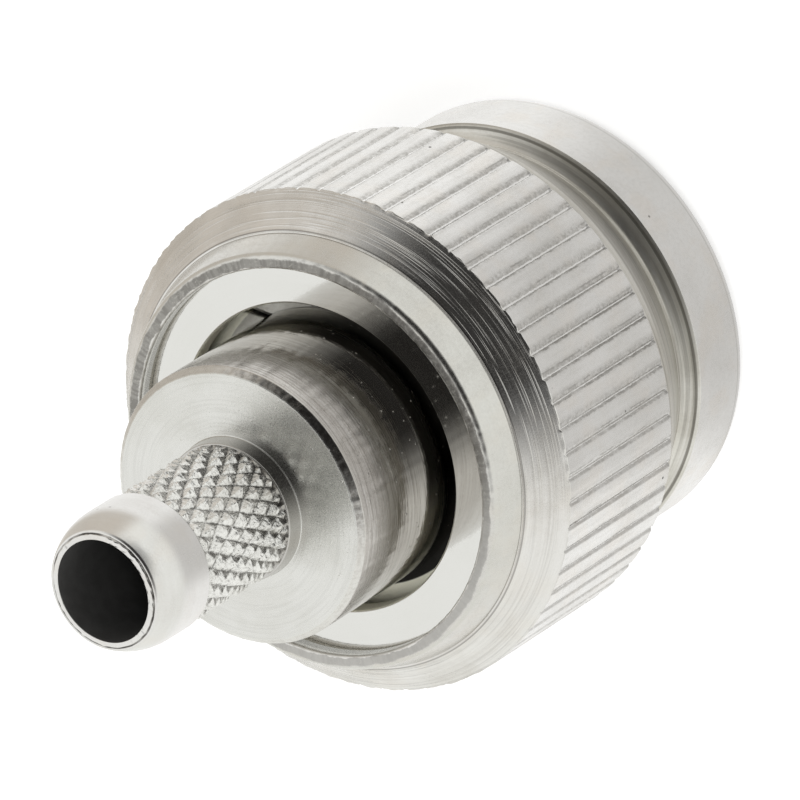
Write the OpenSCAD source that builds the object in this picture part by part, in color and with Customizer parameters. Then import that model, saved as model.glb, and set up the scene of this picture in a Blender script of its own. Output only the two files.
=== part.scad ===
// Threaded coaxial cable plug, standing on the front rim of its coupling nut. Millimetres.
// The origin is the centre of that rim. +Z runs along the axis towards the cable.

/* [Coupling nut] */
// Diameter over the lands of the straight knurl
grip_d = 15; // [14.6:0.1:17]
// Length of the knurled grip
grip_len = 5.32; // [4:0.02:8]
// Number of knurl grooves round the grip
grip_grooves = 63; // [40:1:70]
// Depth of a knurl groove
grip_groove_depth = 0.1; // [0.06:0.02:0.34]
// Width of a knurl groove at its mouth
grip_groove_w = 0.2; // [0.12:0.02:0.4]
// Diameter of the plain band at the front
band_d = 13.1; // [12.8:0.05:14]
// Length of the plain band
band_len = 2.45; // [2:0.05:4]
// Chamfer on the outer edge of the front rim
rim_chamfer = 0.35; // [0.1:0.05:0.45]
// Depth of the narrow groove behind the band, and of the slope down into it
neck_depth = 0.42; // [0.05:0.01:0.5]
// Length of the narrow groove behind the band
neck_len = 0.52; // [0.52:0.02:1.5]
// Length of the cone that rises from that groove to the grip
flare_len = 1.9; // [0.8:0.05:3]
// Length of the smooth ring between the cone and the grip
collar_len = 0.48; // [0.2:0.02:1]
// Step from the lands of the knurl down to that ring
collar_drop = 0.26; // [0.2:0.02:0.4]
// Length of the bevel behind the grip
bevel_len = 0.87; // [0.5:0.01:1.2]
// Diameter at the foot of the rolled lip
lip_root_d = 12.94; // [12.7:0.02:13.4]
// Outer diameter of the end of the rolled lip
lip_d = 12.3; // [12:0.05:12.6]
// Opening inside the rolled lip
lip_opening_d = 11.5; // [11.2:0.05:11.7]
// Height of the rolled lip above the bevel
lip_len = 1; // [0.8:0.02:1.3]
// Bore of the coupling thread, at its crests
thread_bore_d = 10.26; // [10.1:0.02:10.4]
// Lead-in chamfer of the coupling thread
thread_lead_in = 0.55; // [0.3:0.05:0.7]

/* [Washer and retaining ring] */
// Opening of the thrust washer
washer_opening_d = 9.14; // [8.8:0.02:9.6]
// Thickness of the thrust washer
washer_t = 0.62; // [0.4:0.02:0.8]
// Depth of the washer below the end of the lip
washer_sink = 0.48; // [0.3:0.02:0.6]
// Width of the washer edge that the lip covers
washer_hold = 0.2; // [0.1:0.01:0.25]
// Thickness of the split retaining ring
ring_t = 0.5; // [0.35:0.05:0.8]
// Width of the seat that the retaining ring rests on
ring_hold = 0.34; // [0.2:0.02:0.4]
// Depth to which the retaining ring sits in the body
ring_grip = 0.5; // [0.3:0.05:0.6]
// Width of the split in the retaining ring
ring_split_w = 0.45; // [0.3:0.05:1]
// Slant of that split away from the radius, in degrees
ring_split_slant = 45; // [0:5:60]
// Direction of that split round the axis, in degrees
ring_split_dir = -64; // [-180:1:180]
// Travel of the nut along the body
nut_float = 0.35; // [0.1:0.05:0.6]

/* [Body] */
// Diameter of the body behind the nut
body_d = 8.22; // [7.8:0.02:8.5]
// Length of the body behind its retaining ring
body_len = 4.93; // [3.5:0.01:8]
// Depth of the chamfer on the rear edge, across the face
body_chamfer = 0.19; // [0.1:0.01:0.4]
// Length of that chamfer along the axis
body_chamfer_len = 0.19; // [0.1:0.01:0.6]
// Diameter of the flange that carries the gasket
flange_d = 9.9; // [9.4:0.05:10]
// Thickness of that flange
flange_t = 1.6; // [1.2:0.1:2.2]
// Gap between the flange and the retaining ring
flange_gap = 0.6; // [0.4:0.05:1.2]

/* [Crimp post] */
// Length of the post behind the body
post_len = 6.54; // [5:0.02:10]
// Diameter of the plain collar near the end of the post
post_d = 4.12; // [3.96:0.02:4.4]
// Length of the rounded nose
nose_len = 1.25; // [0.6:0.05:1.6]
// Diameter at the end of the nose
nose_d = 3.42; // [3.36:0.02:3.7]
// Length of the plain collar
post_collar_len = 0.93; // [0.5:0.01:2]
// Length of the plain neck at the foot of the post
post_neck_len = 0.5; // [0.3:0.05:1]
// Diamonds round the post
post_diamonds = 25; // [16:1:32]
// Rows of diamonds along the post, each half a diamond from the next
post_rows = 9; // [6:1:16]
// Height of a diamond
diamond_h = 0.16; // [0.08:0.01:0.22]
// Bore for the insulated core of the cable
cable_bore_d = 3; // [2.6:0.02:3.1]

/* [Contacts and insulator] */
// Diameter of the outer contact
outer_contact_d = 8.12; // [7.9:0.02:8.2]
// Wall of the outer contact
outer_contact_wall = 0.55; // [0.4:0.05:0.7]
// Depth of its tips below the front rim
outer_contact_sink = 1.3; // [0.5:0.1:2]
// Number of slots in the outer contact
slot_count = 4; // [3:1:8]
// Width of a slot
slot_w = 0.4; // [0.2:0.05:0.6]
// Length of a slot
slot_len = 5; // [3:0.1:5.6]
// Depth of the insulator below the front rim
insulator_sink = 2; // [1.4:0.1:3]
// Opening in the front of the insulator
insulator_opening_d = 4.84; // [4.6:0.02:5.2]
// Depth of that opening
insulator_opening_len = 5.8; // [4:0.1:6.2]
// Diameter of the rear part of the insulator
insulator_rear_d = 5.2; // [4.8:0.05:5.6]
// Diameter of the contact pin
pin_d = 1.35; // [1.2:0.01:1.5]
// Depth of the pin tip below the front rim
pin_sink = 2.3; // [1.5:0.1:4]
// Diameter of the rear of the centre contact
cup_d = 2.1; // [1.8:0.05:2.6]
// Length of the rear of the centre contact
cup_len = 3.8; // [3:0.1:4.2]
// Hole for the conductor
conductor_d = 0.96; // [0.6:0.02:1.2]

/* [Gasket] */
// Thickness of the gasket
gasket_t = 0.8; // [0.5:0.1:1.2]

/* [Fits] */
// Running clearance across the axis
run_gap = 0.05; // [0.03:0.01:0.08]
// Clearance along the axis and between seated pieces
seat_gap = 0.02; // [0.01:0.01:0.03]

/* [Hidden] */

$fn = 96;
over = 1;

// Stations of the nut along the axis
z_neck0 = band_len;
z_neck1 = z_neck0 + neck_len;
z_flare1 = z_neck1 + flare_len;
z_grip0 = z_flare1 + collar_len;
z_grip1 = z_grip0 + grip_len;
z_bevel1 = z_grip1 + bevel_len;
z_lip1 = z_bevel1 + lip_len;
z_washer1 = z_lip1 - washer_sink;
z_washer0 = z_washer1 - washer_t;
z_ring1 = z_washer0 - seat_gap - nut_float;
z_ring0 = z_ring1 - ring_t;
z_seat = z_ring0 - seat_gap;

// Radii of the nut
grip_r = grip_d / 2;
band_r = band_d / 2;
neck_r = band_r - neck_depth;
collar_r = grip_r - max(collar_drop, grip_groove_depth + seat_gap);
flare_r = collar_r - 0.09;
lip_opening_r = lip_opening_d / 2;
thread_r = thread_bore_d / 2;
washer_r = lip_opening_r + washer_hold;
lip_r = max(lip_d / 2, washer_r + run_gap + 0.12);
lip_root_r = max(lip_root_d / 2, lip_r + 0.3);
ring_r = thread_r + ring_hold;
land_chamfer = 0.14;
lip_step = 0.06;
grip_slope = grip_groove_w / 2 / grip_groove_depth;

// Stations and radii of the body
body_r = body_d / 2;
ring_floor_r = body_r - ring_grip;
z_body1 = z_ring1 + body_len;
z_flange1 = z_seat - flange_gap;
z_flange0 = z_flange1 - flange_t;
z_stem1 = z_flange1 - 0.3;
z_core1 = z_ring1 + 2;
z_post1 = z_body1 + post_len;
post_r = post_d / 2;
nose_r = nose_d / 2;
crest_r = post_r - seat_gap;
root_r = crest_r - diamond_h;
core_post_r = root_r - 0.08;
z_nose0 = z_post1 - nose_len;
z_post_collar0 = z_nose0 - post_collar_len;
z_diamond0 = z_body1 + post_neck_len;
boss_r = post_r + 0.04;
boss_h = 0.64 * post_neck_len;
lap = 0.2;
cable_r = cable_bore_d / 2;

// Stations and radii of the contacts and the insulator
outer_r = outer_contact_d / 2;
outer_in_r = outer_r - outer_contact_wall;
ins_r = outer_in_r - seat_gap;
ins_rear_r = insulator_rear_d / 2;
ins_opening_r = insulator_opening_d / 2;
z_ins_floor = insulator_sink + insulator_opening_len;
z_ins1 = z_core1 - seat_gap;
pin_r = pin_d / 2;
cup_r = cup_d / 2;
z_cup1 = z_ins1 - seat_gap;
z_cup0 = z_cup1 - cup_len;

// Nose of the post as an arc from the collar to its end
function nose_arc(n) = [for (i = [0 : n])
    [nose_r + (post_r - nose_r) * cos(i * 90 / n), z_nose0 + (nose_len - 0.08) * sin(i * 90 / n)]];

module coupling_nut() {
    profile = [
        [thread_r + thread_lead_in, 0],
        [band_r - rim_chamfer, 0],
        [band_r, rim_chamfer],
        [band_r, z_neck0],
        [neck_r, z_neck0 + neck_depth],
        [neck_r, z_neck1],
        [flare_r, z_flare1],
        [collar_r, z_grip0],
        [grip_r, z_grip0 + land_chamfer],
        [grip_r, z_grip1],
        [lip_root_r + lip_step, z_bevel1],
        [lip_root_r, z_bevel1],
        [lip_r, z_lip1],
        [lip_opening_r, z_lip1],
        [lip_opening_r, z_washer1 + seat_gap],
        [washer_r + run_gap, z_washer1 + seat_gap],
        [washer_r + run_gap, z_washer0 - seat_gap],
        [ring_r + run_gap, z_washer0 - seat_gap],
        [ring_r + run_gap, z_seat],
        [thread_r, z_seat],
        [thread_r, thread_lead_in]
    ];
    color("silver")
    difference() {
        rotate_extrude(convexity = 6)
            polygon(profile);
        for (i = [0 : grip_grooves - 1])
            rotate([0, 0, i * 360 / grip_grooves])
                grip_groove();
    }
}

// One V groove of the straight knurl; it runs out on the bevel
module grip_groove() {
    half = grip_slope * (grip_groove_depth + over);
    translate([0, 0, z_grip0 - collar_len / 2])
        linear_extrude(height = collar_len / 2 + grip_len + bevel_len)
            polygon([
                [grip_r - grip_groove_depth, 0],
                [grip_r + over, half],
                [grip_r + over, -half]
            ]);
}

module thrust_washer() {
    edge = 0.06;
    in_r = washer_opening_d / 2;
    color("gainsboro")
    rotate_extrude(convexity = 4)
        polygon([
            [in_r, z_washer0 + edge],
            [in_r + edge, z_washer0],
            [washer_r, z_washer0],
            [washer_r, z_washer1],
            [in_r + edge, z_washer1],
            [in_r, z_washer1 - edge]
        ]);
}

module retaining_ring() {
    in_r = ring_floor_r + seat_gap;
    color("darkgray")
    difference() {
        rotate_extrude(convexity = 4)
            polygon([[in_r, z_ring0], [ring_r, z_ring0], [ring_r, z_ring1], [in_r, z_ring1]]);
        rotate([0, 0, ring_split_dir])
            translate([(in_r + ring_r) / 2, 0, z_ring0 - over])
                rotate([0, 0, ring_split_slant])
                    translate([-grip_r / 3, -ring_split_w / 2, 0])
                        cube([2 * grip_r / 3, ring_split_w, ring_t + 2 * over]);
    }
}

module connector_body() {
    face_r = body_r - body_chamfer;
    profile = concat([
        [0, z_flange0],
        [flange_d / 2, z_flange0],
        [flange_d / 2, z_flange1],
        [body_r, z_flange1],
        [body_r, z_ring0 - seat_gap],
        [ring_floor_r, z_ring0 - seat_gap],
        [ring_floor_r, z_ring1 + seat_gap],
        [body_r, z_ring1 + seat_gap],
        [body_r, z_body1 - body_chamfer_len],
        [face_r, z_body1],
        [boss_r, z_body1],
        [boss_r, z_body1 + boss_h],
        [post_r, z_body1 + boss_h],
        [post_r, z_diamond0],
        [core_post_r, z_diamond0],
        [core_post_r, z_post_collar0],
        [post_r, z_post_collar0]
    ], nose_arc(6), [[nose_r, z_post1], [0, z_post1]]);
    color("silver")
    difference() {
        union() {
            rotate_extrude(convexity = 6)
                polygon(profile);
            translate([0, 0, z_diamond0 - lap])
                diamond_rod(z_post_collar0 - z_diamond0 + 2 * lap);
        }
        translate([0, 0, z_flange0 - over])
            cylinder(r = outer_r, h = over + z_stem1 - z_flange0);
        translate([0, 0, z_flange0 - over])
            cylinder(r = ins_rear_r + seat_gap, h = over + z_core1 - z_flange0);
        translate([0, 0, z_flange0])
            cylinder(r = cable_r, h = z_post1 - z_flange0 + over);
    }
}

// Rod covered with small pyramids between two sets of crossing grooves
module diamond_rod(length) {
    cols = 2 * post_diamonds;
    rows = post_rows;
    step = length / rows;
    points = [for (k = [0 : rows], m = [0 : cols - 1])
        let (r = (m + k) % 2 == 0 ? root_r : crest_r)
        [r * cos(m * 360 / cols), r * sin(m * 360 / cols), k * step]];
    function at(m, k) = k * cols + m % cols;
    rising = [for (k = [0 : rows - 1], m = [0 : cols - 1]) if ((m + k) % 2 == 0)
        each [[at(m, k), at(m + 1, k + 1), at(m + 1, k)], [at(m, k), at(m, k + 1), at(m + 1, k + 1)]]];
    falling = [for (k = [0 : rows - 1], m = [0 : cols - 1]) if ((m + k) % 2 == 1)
        each [[at(m, k), at(m, k + 1), at(m + 1, k)], [at(m + 1, k), at(m, k + 1), at(m + 1, k + 1)]]];
    bottom = [for (m = [0 : cols - 1]) at(m, 0)];
    top = [for (m = [cols - 1 : -1 : 0]) at(m, rows)];
    polyhedron(points, concat(rising, falling, [bottom, top]), convexity = 4);
}

module outer_contact() {
    tip = outer_contact_sink;
    relief = outer_r - 0.1;
    color("lightgray")
    difference() {
        rotate_extrude(convexity = 4)
            polygon([
                [outer_in_r + 0.15, tip],
                [outer_r - 0.15, tip],
                [outer_r, tip + 0.25],
                [outer_r, tip + 1],
                [relief, tip + 1.3],
                [relief, tip + slot_len],
                [outer_r, tip + slot_len + 0.3],
                [outer_r, z_stem1 - seat_gap],
                [outer_in_r, z_stem1 - seat_gap],
                [outer_in_r, tip + 0.2]
            ]);
        for (i = [0 : slot_count - 1])
            rotate([0, 0, (i + 0.5) * 360 / slot_count])
                translate([0, -slot_w / 2, tip - over])
                    cube([grip_r, slot_w, slot_len - 0.3 + over]);
    }
}

module insulator() {
    hole_r = pin_r + seat_gap;
    pocket_r = cup_r + seat_gap;
    color("white")
    rotate_extrude(convexity = 4)
        polygon([
            [ins_opening_r, insulator_sink],
            [ins_r, insulator_sink],
            [ins_r, z_stem1 - seat_gap],
            [ins_rear_r, z_stem1 - seat_gap],
            [ins_rear_r, z_ins1],
            [pocket_r, z_ins1],
            [pocket_r, z_cup0 - seat_gap],
            [hole_r, z_cup0 - seat_gap],
            [hole_r, z_ins_floor],
            [ins_opening_r, z_ins_floor]
        ]);
}

module centre_contact() {
    tip_len = 0.7;
    hole_len = cup_len - 1;
    color("goldenrod")
    difference() {
        rotate_extrude(convexity = 4)
            polygon([
                [0, pin_sink],
                [pin_r * 0.45, pin_sink],
                [pin_r, pin_sink + tip_len],
                [pin_r, z_cup0],
                [cup_r, z_cup0],
                [cup_r, z_cup1],
                [0, z_cup1]
            ]);
        translate([0, 0, z_cup1 - hole_len])
            cylinder(d = conductor_d, h = hole_len + over);
        translate([0, 0, z_cup1 - hole_len + 0.6])
            rotate([0, 90, 0])
                cylinder(d = conductor_d * 0.7, h = cup_d);
    }
}

module gasket() {
    edge = 0.12;
    in_r = outer_r + seat_gap;
    out_r = flange_d / 2 - run_gap;
    z0 = z_flange0 - gasket_t;
    z1 = z_flange0;
    color("firebrick")
    rotate_extrude(convexity = 4)
        polygon([
            [in_r, z0 + edge],
            [in_r + edge, z0],
            [out_r - edge, z0],
            [out_r, z0 + edge],
            [out_r, z1 - edge],
            [out_r - edge, z1],
            [in_r + edge, z1],
            [in_r, z1 - edge]
        ]);
}

coupling_nut();
thrust_washer();
retaining_ring();
connector_body();
outer_contact();
insulator();
centre_contact();
gasket();
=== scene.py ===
"""Looks of a threaded coaxial cable plug: turned brass with nickel plating, on a white table."""

import math

import bpy
import numpy as np
from mathutils import Matrix, Vector


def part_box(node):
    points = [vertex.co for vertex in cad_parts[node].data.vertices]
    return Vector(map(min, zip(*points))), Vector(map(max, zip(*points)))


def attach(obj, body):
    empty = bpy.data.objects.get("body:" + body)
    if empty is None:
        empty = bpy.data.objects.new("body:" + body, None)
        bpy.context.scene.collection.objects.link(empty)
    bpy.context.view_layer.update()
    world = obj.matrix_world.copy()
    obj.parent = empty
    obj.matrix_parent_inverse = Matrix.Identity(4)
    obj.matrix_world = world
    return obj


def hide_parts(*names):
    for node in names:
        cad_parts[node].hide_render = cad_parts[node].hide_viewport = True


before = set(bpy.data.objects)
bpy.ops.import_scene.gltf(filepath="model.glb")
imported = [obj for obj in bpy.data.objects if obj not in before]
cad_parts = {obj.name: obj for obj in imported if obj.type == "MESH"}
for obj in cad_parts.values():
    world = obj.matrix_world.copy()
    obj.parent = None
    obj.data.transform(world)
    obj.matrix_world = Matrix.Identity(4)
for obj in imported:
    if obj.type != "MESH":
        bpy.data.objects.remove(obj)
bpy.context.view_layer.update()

MM = 0.001
TURN = 2 * math.pi
SEED = 7


def span(node):
    """Lowest and highest corner of a solid, in millimetres."""
    low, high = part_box(node)
    return low / MM, high / MM


nut_high = span("coupling_nut")[1]
washer_low, washer_high = span("thrust_washer")
ring_low, ring_high = span("retaining_ring")
body_low, body_high = span("connector_body")
outer_low, outer_high = span("outer_contact")
ins_low, ins_high = span("insulator")
pin_low, pin_high = span("centre_contact")
gasket_low, gasket_high = span("gasket")

# Sizes of the nut, in millimetres
GRIP_R = 7.5
GRIP_GROOVES = 63
GROOVE_PITCH = TURN * GRIP_R / GRIP_GROOVES
GROOVE_DEPTH = 0.1
GROOVE_W = 0.2
GROOVE_LOW = -0.04
BAND_R = 6.55
NECK_DEPTH = 0.42
NECK_R = BAND_R - NECK_DEPTH
NECK_STEP = 0.1
NECK_LEDGE = 0.02
COLLAR_R = 7.24
FLARE_R = 7.15
LIP_ROOT_R = 6.47
LIP_STEP = 0.06
LIP_R = 6.15
LIP_OPENING_R = 5.75
THREAD_R = 5.13
THREAD_DEPTH = 0.4
THREAD_PITCH = 25.4 / 28
THREAD_LEN = 7.2
THREAD_RUN_OUT = 0.5
LEAD_IN = 0.55
RIM_CHAMFER = 0.35
LAND_CHAMFER = 0.14
RUN_GAP = 0.05
SEAT_GAP = 0.02
LIP_LEN = 1.0
BEVEL_LEN = 0.87
GRIP_LEN = 5.32
COLLAR_LEN = 0.48
FLARE_LEN = 1.9
NECK_LEN = 0.52

# Heights on the nut, from its lip down
Z_LIP1 = nut_high.z
Z_BEVEL1 = Z_LIP1 - LIP_LEN
Z_GRIP1 = Z_BEVEL1 - BEVEL_LEN
Z_GRIP0 = Z_GRIP1 - GRIP_LEN
Z_FLARE1 = Z_GRIP0 - COLLAR_LEN
Z_NECK1 = Z_FLARE1 - FLARE_LEN
Z_NECK0 = Z_NECK1 - NECK_LEN

# Sizes of the body and its post
BODY_R = 4.11
FACE_R = 3.92
BODY_CHAMFER_LEN = 0.19
FLANGE_R = body_high.x
FLANGE_LEN = 1.6
STEM_INSET = 0.3
RING_FLOOR_R = 3.61
CORE_PAST_RING = 2
POST_R = 2.06
POST_LEN = 6.54
POST_COLLAR_LEN = 0.93
NOSE_R = 1.71
NOSE_LEN = 1.25
NOSE_CURVE = 2.2
CABLE_R = 1.5
BOSS_R = POST_R + 0.04
BOSS_LEN = 0.5
DIAMONDS = 25
DIAMOND_ROWS = 9
CREST_R = 2.04
ROOT_R = 1.88
CORE_R = 1.8
DIAMOND_LAP = 0.2

# Heights on the body
Z_POST1 = body_high.z
Z_BODY1 = Z_POST1 - POST_LEN
Z_NOSE0 = Z_POST1 - NOSE_LEN
Z_COLLAR0 = Z_NOSE0 - POST_COLLAR_LEN
Z_DIAMOND0 = Z_BODY1 + BOSS_LEN
Z_FLANGE0 = body_low.z
Z_FLANGE1 = Z_FLANGE0 + FLANGE_LEN
Z_STEM1 = Z_FLANGE1 - STEM_INSET
Z_CORE1 = ring_high.z + CORE_PAST_RING
DIAMOND_FROM = Z_DIAMOND0 - DIAMOND_LAP
DIAMOND_STEP = (Z_COLLAR0 - Z_DIAMOND0 + 2 * DIAMOND_LAP) / DIAMOND_ROWS

# Sizes of the washer and the retaining ring
WASHER_R = washer_high.x
WASHER_IN_R = 4.57
WASHER_EDGE = 0.05
RING_R = 5.47
RING_IN_R = RING_FLOOR_R + SEAT_GAP
RING_SPLIT_W = 0.14
RING_SPLIT_SLANT = math.radians(45)
RING_SPLIT_DIR = math.radians(-64)
Z_SEAT = ring_low.z - SEAT_GAP

# Sizes of the contacts and the insulator
OUTER_R = 4.06
OUTER_IN_R = 3.51
OUTER_WAIST_R = OUTER_R - 0.1
SLOTS = 4
SLOT_W = 0.4
SLOT_LEN = 4.7
TIP_EASE = 0.15
TIP_LEN = 0.25
TIP_IN_LEN = 0.2
BULGE_LEN = 1
WAIST_FROM = 1.3
WAIST_TO = 5
STEM_FROM = 5.3
INS_R = ins_high.x
INS_REAR_R = 2.6
INS_OPENING_R = 2.42
INS_CUP_LEN = 5.8
Z_INS_FLOOR = ins_low.z + INS_CUP_LEN
PIN_R = 0.675
PIN_TIP_R = PIN_R * 0.45
PIN_TAPER = 0.7
PIN_AXIS_R = 0.004
CUP_R = 1.05
CUP_LEN = 3.8
Z_CUP0 = pin_high.z - CUP_LEN
CONDUCTOR_R = 0.48
CONDUCTOR_LEN = 2.8
Z_CONDUCTOR0 = pin_high.z - CONDUCTOR_LEN

# Columns of points round each piece, and rows where they are even
THREAD_COLUMNS = 216
THREAD_ROWS = 118
THREAD_BACK_ROWS = 6
WASHER_COLUMNS = 288
RING_COLUMNS = 180
BODY_COLUMNS = 400
NOSE_ROWS = 17
COLUMNS_PER_DIAMOND = 20
ROWS_PER_DIAMOND = 15
FINGER_COLUMNS = 40
INSIDE_COLUMNS = 200
PIN_COLUMNS = 128

# Limits of an arc at a profile's corner: its share of the shorter side, its least turn in radians,
# and how far a row may lie beside it so that the flats stay flat under smooth shading
ARC_SHARE = 0.45
LEAST_TURN = 0.02
FLAT_ROW = 0.03
LEAST_FLAT_ROW = 0.003


def rounded(corners, closed=False, step=18.0):
    """Rows (r, z) of a profile whose corners are (r, z, radius), with an arc at each corner."""
    count = len(corners)
    rows = []
    for i, (r, z, radius) in enumerate(corners):
        here = np.array((r, z), float)
        if not closed and i in (0, count - 1):
            rows.append(here)
            continue
        before = np.array(corners[i - 1][:2], float) - here
        after = np.array(corners[(i + 1) % count][:2], float) - here
        length_a, length_b = np.linalg.norm(before), np.linalg.norm(after)
        before, after = before / length_a, after / length_b
        turn = math.pi - math.acos(float(np.clip(before @ after, -1, 1)))
        if radius <= 0 or turn < LEAST_TURN:
            rows.append(here)
            continue
        room = ARC_SHARE * min(length_a, length_b)
        cut = min(radius * math.tan(turn / 2), room)
        arc_r = cut / math.tan(turn / 2)
        middle = (before + after) / np.linalg.norm(before + after)
        centre = here + middle * (arc_r / math.cos(turn / 2))
        start, end = here + before * cut - centre, here + after * cut - centre
        stay = min(FLAT_ROW, 0.5 * (room / (2 * ARC_SHARE) - cut))
        if stay > LEAST_FLAT_ROW:
            rows.append(centre + start + before * stay)
        pieces = max(2, math.ceil(math.degrees(turn) / step))
        for k in range(pieces + 1):
            t = k / pieces
            arc = math.sin((1 - t) * turn) * start + math.sin(t * turn) * end
            rows.append(centre + arc / math.sin(turn))
        if stay > LEAST_FLAT_ROW:
            rows.append(centre + end + after * stay)
    return np.array(rows)


def denser(rows, longest, low, high):
    """The same rows, with more of them between the heights low and high."""
    out = [rows[0]]
    for a, b in zip(rows[:-1], rows[1:]):
        inside = low <= (a[1] + b[1]) / 2 <= high
        parts = max(1, math.ceil(np.linalg.norm(b - a) / longest)) if inside else 1
        out += [a + (b - a) * k / parts for k in range(1, parts + 1)]
    return np.array(out)


def even(count):
    """Angles of columns evenly round the axis."""
    return np.arange(count) * TURN / count


def upright(radius, heights):
    """Rows of a plain cylinder."""
    return np.stack([np.full_like(heights, radius), heights], 1)


def turned(rows, angles, closed=False, shape=None):
    """Points and faces of a profile turned about Z. shape(r, z, angle) may return new r and z."""
    angle = np.asarray(angles)[None, :]
    r = np.repeat(rows[:, :1], angle.shape[1], 1)
    z = np.repeat(rows[:, 1:2], angle.shape[1], 1)
    if shape is not None:
        r, z = shape(r, z, np.repeat(angle, len(rows), 0))
    points = np.stack([r * np.cos(angle), r * np.sin(angle), z], -1).reshape(-1, 3)
    high, wide = len(rows), angle.shape[1]
    i = np.arange(high if closed else high - 1)[:, None]
    j = np.arange(wide)[None, :]
    k, m = (i + 1) % high, (j + 1) % wide
    quads = [i * wide + j, i * wide + m, k * wide + m, k * wide + j]
    return points, np.stack(quads, -1).reshape(-1, 4).tolist()


def sector(rows, count, first, last):
    """Points and faces of a closed profile turned from first(r) to last(r), closed at both ends."""
    t = np.linspace(0, 1, count)[None, :]
    r = np.repeat(rows[:, :1], count, 1)
    z = np.repeat(rows[:, 1:2], count, 1)
    angle = first(r) + (last(r) - first(r)) * t
    points = np.stack([r * np.cos(angle), r * np.sin(angle), z], -1).reshape(-1, 3)
    high = len(rows)
    i = np.arange(high)[:, None]
    j = np.arange(count - 1)[None, :]
    k = (i + 1) % high
    quads = [i * count + j, i * count + j + 1, k * count + j + 1, k * count + j]
    faces = np.stack(quads, -1).reshape(-1, 4).tolist()
    faces.append([h * count for h in range(high)])
    faces.append([h * count + count - 1 for h in reversed(range(high))])
    return points, faces


def make(name, shape, material, body, node, others=()):
    """One shown piece from points in millimetres; others are (material, mask of its faces)."""
    points, faces = shape
    mesh = bpy.data.meshes.new(name)
    mesh.from_pydata((np.asarray(points) * MM).tolist(), [], faces)
    mesh.update()
    mesh.shade_smooth()
    mesh.materials.append(material)
    index = np.zeros(len(mesh.polygons), np.int32)
    for number, (other, mask) in enumerate(others, 1):
        mesh.materials.append(other)
        index[mask] = number
    mesh.polygons.foreach_set("material_index", index)
    obj = bpy.data.objects.new(name, mesh)
    bpy.context.scene.collection.objects.link(obj)
    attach(obj, body)
    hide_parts(node)
    return obj


def wave(angle, seed, lowest, highest):
    """A smooth closed random wave round the axis, about -1 to 1."""
    rng = np.random.RandomState(seed)
    total = np.zeros_like(angle)
    for n in range(lowest, highest + 1):
        total += rng.normal() * np.cos(n * angle + rng.uniform(0, TURN))
    return total / math.sqrt(highest - lowest + 1)


def lumps(shape, size, seed):
    """A smooth random field of about -2 to 2, with lumps of the given size in cells."""
    field = np.random.RandomState(seed).normal(size=shape)
    up, across = np.fft.fftfreq(shape[0])[:, None], np.fft.fftfreq(shape[1])[None, :]
    blur = np.exp(-2 * (math.pi * size) ** 2 * (up**2 + across**2))
    field = np.fft.ifft2(np.fft.fft2(field) * blur).real
    return field / field.std()


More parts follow.
